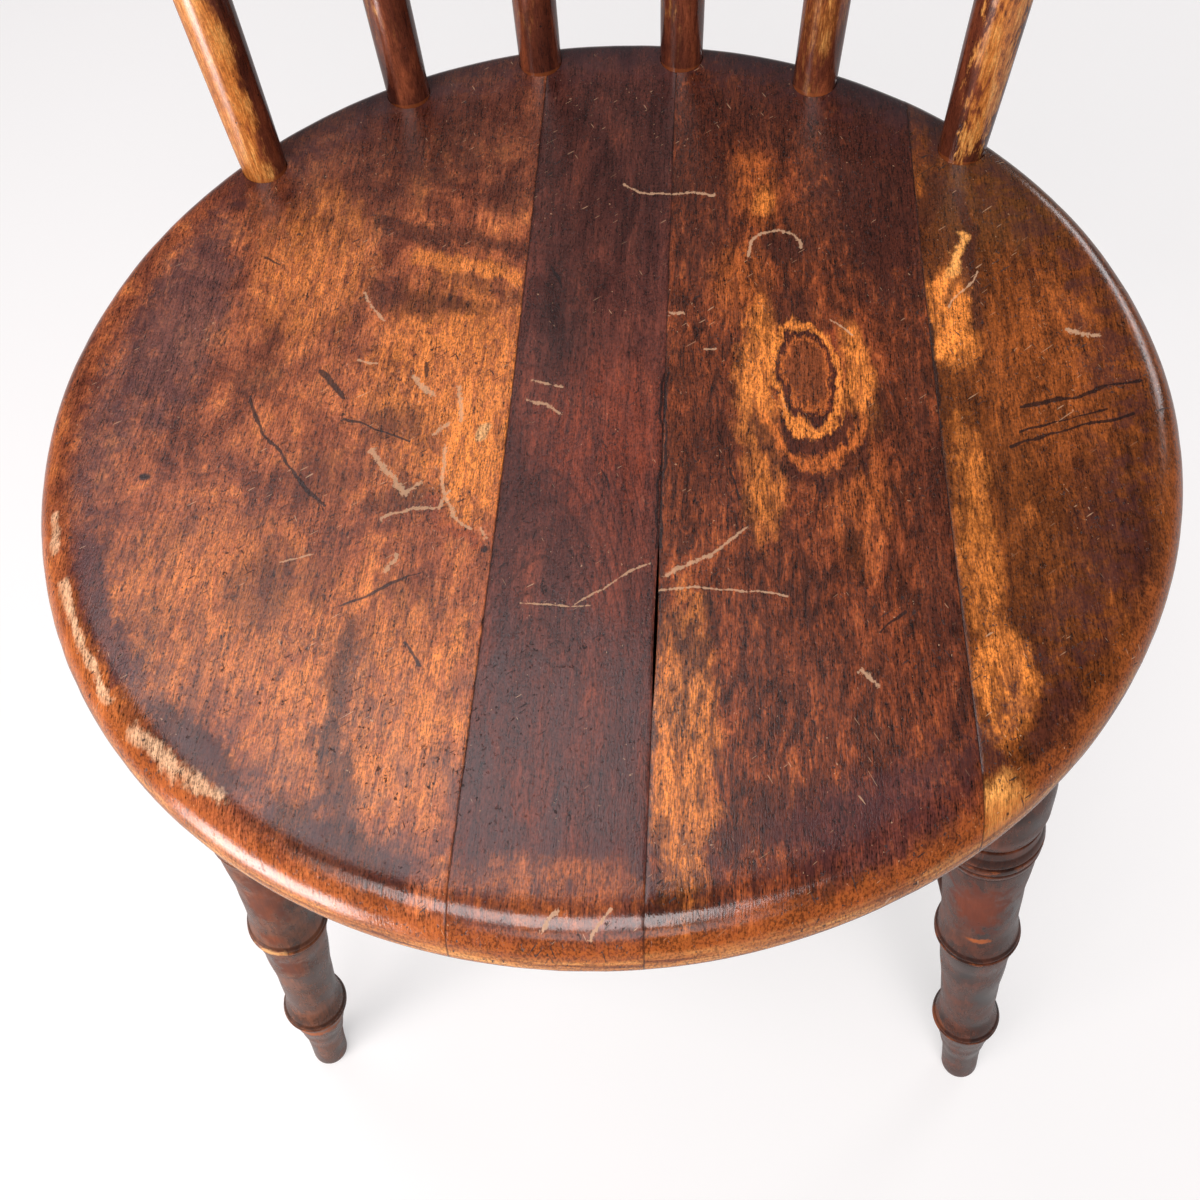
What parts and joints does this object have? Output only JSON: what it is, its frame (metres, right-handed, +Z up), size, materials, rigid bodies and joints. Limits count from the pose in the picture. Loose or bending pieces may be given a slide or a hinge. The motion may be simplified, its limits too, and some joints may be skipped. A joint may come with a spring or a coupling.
{
  "type": "wooden chair",
  "caption": "Old round-seated wooden kitchen chair with a dished seat of glued boards, turned back sticks, a bent top rail and splayed ring-turned legs, in worn varnish.",
  "frame": {"origin": "on the floor, on the seat's centre plane, midway between the front of the seat and the back of the top rail", "axes": "+Z up; the chair faces -Y, its back is towards +Y; +X is to the right as seen from the front"},
  "size_m": [0.4058, 0.4525, 0.8869],
  "materials": {
    "varnish_orange": "worn and scratched satin varnish over stained wood, with dark mottling and bare edges",
    "varnish_dark": "dark worn varnish with orange grain showing through at the front",
    "varnish_brown": "worn varnish with figured grain, scratches and a purple sheen near the rim",
    "varnish_amber": "amber varnish with bright figure, long dark scratches and a chipped joint edge",
    "stick_worn": "varnish worn through to golden wood, with a dark edge",
    "stick_dark": "dark red-brown varnish, rubbed on its front",
    "stick_streaked": "dark varnish with worn golden streaks",
    "rail_dark": "dark red-brown varnish, rubbed along its top edge",
    "leg_dark": "very dark stain and varnish, rubbed to orange wood on the rings",
    "stretcher_dark": "very dark stain and varnish, rubbed at the middle"
  },
  "bodies": {
    "root": {"seat_board_left": "varnish_orange", "seat_board_mid_left": "varnish_dark", "seat_board_mid_right": "varnish_brown", "seat_board_right": "varnish_amber", "back_stick_1": "stick_worn", "back_stick_2": "stick_dark", "back_stick_3": "stick_dark", "back_stick_4": "stick_dark", "back_stick_5": "stick_dark", "back_stick_6": "stick_streaked", "top_rail": "rail_dark", "leg_front_left": "leg_dark", "leg_front_right": "leg_dark", "leg_back_left": "leg_dark", "leg_back_right": "leg_dark", "side_stretcher_left": "stretcher_dark", "side_stretcher_right": "stretcher_dark", "cross_stretcher": "stretcher_dark"}
  },
  "joints": []
}
